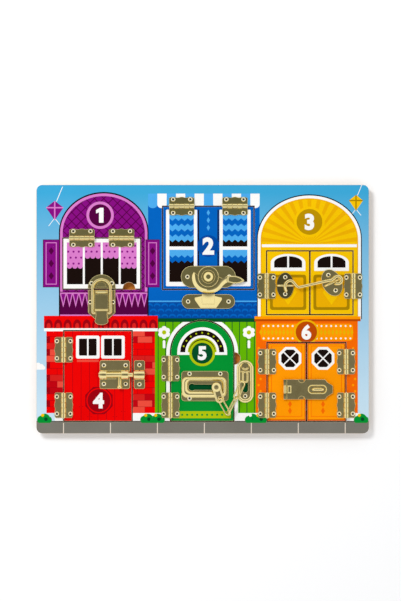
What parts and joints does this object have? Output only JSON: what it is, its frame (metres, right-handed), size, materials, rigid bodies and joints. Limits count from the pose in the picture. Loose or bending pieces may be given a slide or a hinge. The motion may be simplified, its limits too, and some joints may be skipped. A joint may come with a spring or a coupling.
{
  "type": "latch board",
  "caption": "Flat wooden toy board with small windows and doors, each held shut by a different metal catch: draw latch, sash lock, hook, bolt, chain guard and hasp.",
  "frame": {"origin": "centre of the back, in the plane of its underside", "axes": "+X to the right along the board's long side, +Y up the picture, +Z out of the painted face"},
  "size_m": [0.4, 0.299, 0.0235],
  "materials": {
    "sky_blue_wood": "satin paint",
    "bare_wood": "bare",
    "brass_plate": "bright plated steel",
    "purple_wood": "satin paint",
    "blue_wood": "satin paint",
    "yellow_wood": "satin paint",
    "red_wood": "satin paint",
    "green_wood": "satin paint",
    "orange_wood": "satin paint"
  },
  "bodies": {
    "board": {"front_board": "sky_blue_wood", "back_panel": "bare_wood", "hinge_1_a_board_leaf": "brass_plate", "hinge_1_b_board_leaf": "brass_plate", "hinge_2_a_board_leaf": "brass_plate", "hinge_2_b_board_leaf": "brass_plate", "hinge_3_left_board_leaf": "brass_plate", "hinge_3_right_board_leaf": "brass_plate", "hinge_4_a_board_leaf": "brass_plate", "hinge_4_b_board_leaf": "brass_plate", "hinge_5_a_board_leaf": "brass_plate", "hinge_5_b_board_leaf": "brass_plate", "hinge_6_left_a_board_leaf": "brass_plate", "hinge_6_left_b_board_leaf": "brass_plate", "hinge_6_right_a_board_leaf": "brass_plate", "hinge_6_right_b_board_leaf": "brass_plate", "draw_base": "brass_plate", "sash_keeper": "brass_plate", "bolt_keeper": "brass_plate", "chain_anchor": "brass_plate"},
    "window_1": {"window_1": "purple_wood", "hinge_1_a_door_leaf": "brass_plate", "hinge_1_b_door_leaf": "brass_plate", "draw_keeper": "brass_plate"},
    "window_2": {"window_2": "blue_wood", "hinge_2_a_door_leaf": "brass_plate", "hinge_2_b_door_leaf": "brass_plate", "sash_plate": "brass_plate"},
    "door_3_left": {"door_3_left": "yellow_wood", "hinge_3_left_door_leaf": "brass_plate", "hook_eye": "brass_plate"},
    "door_3_right": {"door_3_right": "yellow_wood", "hinge_3_right_door_leaf": "brass_plate", "hook_plate": "brass_plate"},
    "door_4": {"door_4": "red_wood", "hinge_4_a_door_leaf": "brass_plate", "hinge_4_b_door_leaf": "brass_plate", "bolt_case": "brass_plate"},
    "door_5": {"door_5": "green_wood", "hinge_5_a_door_leaf": "brass_plate", "hinge_5_b_door_leaf": "brass_plate", "chain_track": "brass_plate"},
    "door_6_left": {"door_6_left": "orange_wood", "hinge_6_left_a_door_leaf": "brass_plate", "hinge_6_left_b_door_leaf": "brass_plate", "hasp_base": "brass_plate"},
    "door_6_right": {"door_6_right": "orange_wood", "hinge_6_right_a_door_leaf": "brass_plate", "hinge_6_right_b_door_leaf": "brass_plate", "hasp_staple": "brass_plate"},
    "draw_lever": {"draw_lever": "brass_plate"},
    "draw_loop": {"draw_loop": "brass_plate"},
    "sash_lever": {"sash_lever": "brass_plate"},
    "hook": {"hook": "brass_plate"},
    "bolt": {"bolt": "brass_plate"},
    "chain_slider": {"chain_slider": "brass_plate"},
    "chain_link_1": {"chain_link_1": "brass_plate"},
    "chain_link_2": {"chain_link_2": "brass_plate"},
    "chain_link_3": {"chain_link_3": "brass_plate"},
    "hasp_strap": {"hasp_strap": "brass_plate"}
  },
  "joints": [
    {"name": "window_1_swing", "type": "hinge", "parent": "board", "child": "window_1", "pos_m": [-0.1214, 0.08555, 0.0149], "axis": [1, 0, 0], "range_deg": [-85, 0]},
    {"name": "window_2_swing", "type": "hinge", "parent": "board", "child": "window_2", "pos_m": [0.0068, 0.12385, 0.0149], "axis": [1, 0, 0], "range_deg": [-100, 0]},
    {"name": "door_3_left_swing", "type": "hinge", "parent": "board", "child": "door_3_left", "pos_m": [0.07695, 0.03175, 0.0149], "axis": [0, 1, 0], "range_deg": [-110, 0]},
    {"name": "door_3_right_swing", "type": "hinge", "parent": "board", "child": "door_3_right", "pos_m": [0.18095, 0.03175, 0.0149], "axis": [0, 1, 0], "range_deg": [0, 110]},
    {"name": "door_4_swing", "type": "hinge", "parent": "board", "child": "door_4", "pos_m": [-0.16715, -0.0804, 0.0149], "axis": [0, 1, 0], "range_deg": [-110, 0]},
    {"name": "door_5_swing", "type": "hinge", "parent": "board", "child": "door_5", "pos_m": [-0.03875, -0.0743, 0.0149], "axis": [0, 1, 0], "range_deg": [-110, 0]},
    {"name": "door_6_left_swing", "type": "hinge", "parent": "board", "child": "door_6_left", "pos_m": [0.07745, -0.08755, 0.0149], "axis": [0, 1, 0], "range_deg": [-110, 0]},
    {"name": "door_6_right_swing", "type": "hinge", "parent": "board", "child": "door_6_right", "pos_m": [0.17245, -0.08755, 0.0149], "axis": [0, 1, 0], "range_deg": [0, 95]},
    {"name": "draw_lever_lift", "type": "hinge", "parent": "board", "child": "draw_lever", "pos_m": [-0.1214, 0.0208, 0.016], "axis": [1, 0, 0], "range_deg": [-150, 0]},
    {"name": "draw_loop_lift", "type": "hinge", "parent": "board", "child": "draw_loop", "pos_m": [-0.1214, -0.0046, 0.0155], "axis": [1, 0, 0], "range_deg": [0, 155]},
    {"name": "sash_lever_turn", "type": "hinge", "parent": "window_2", "child": "sash_lever", "pos_m": [0.0068, 0.0389, 0.0138], "axis": [0, 0, 1], "range_deg": [-45, 135]},
    {"name": "hook_lift", "type": "hinge", "parent": "door_3_right", "child": "hook", "pos_m": [0.16658, 0.03596, 0.0188], "axis": [-0.2204, 0.9754, 0], "range_deg": [0, 140]},
    {"name": "bolt_slide", "type": "slide", "parent": "door_4", "child": "bolt", "axis": [1, 0, 0], "range_m": [-0.013, 0.008]},
    {"name": "chain_slider_slide", "type": "slide", "parent": "door_5", "child": "chain_slider", "axis": [1, 0, 0], "range_m": [-0.0291, 0]},
    {"name": "chain_link_1_turn", "type": "hinge", "parent": "chain_slider", "child": "chain_link_1", "pos_m": [0.02047, -0.10762, 0.0175], "axis": [0, 0, 1], "range_deg": [-15, 25]},
    {"name": "chain_link_2_turn", "type": "hinge", "parent": "chain_link_1", "child": "chain_link_2", "pos_m": [0.03023, -0.12438, 0.0194], "axis": [0, 0, 1], "range_deg": [-12, 14]},
    {"name": "chain_link_3_turn", "type": "hinge", "parent": "chain_link_2", "child": "chain_link_3", "pos_m": [0.03934, -0.10725, 0.0187], "axis": [0, 0, 1], "range_deg": [-15, 10]},
    {"name": "hasp_strap_lift", "type": "hinge", "parent": "door_6_left", "child": "hasp_strap", "pos_m": [0.0989, -0.0964, 0.0145], "axis": [0, 1, 0], "range_deg": [-165, 0]}
  ],
  "couplings": [
    {"joint": "draw_loop_lift", "follows": "window_1_swing", "ratio": -1.8},
    {"joint": "hook_lift", "follows": "door_3_left_swing", "ratio": -1.25},
    {"joint": "hasp_strap_lift", "follows": "door_6_right_swing", "ratio": -1.7}
  ]
}
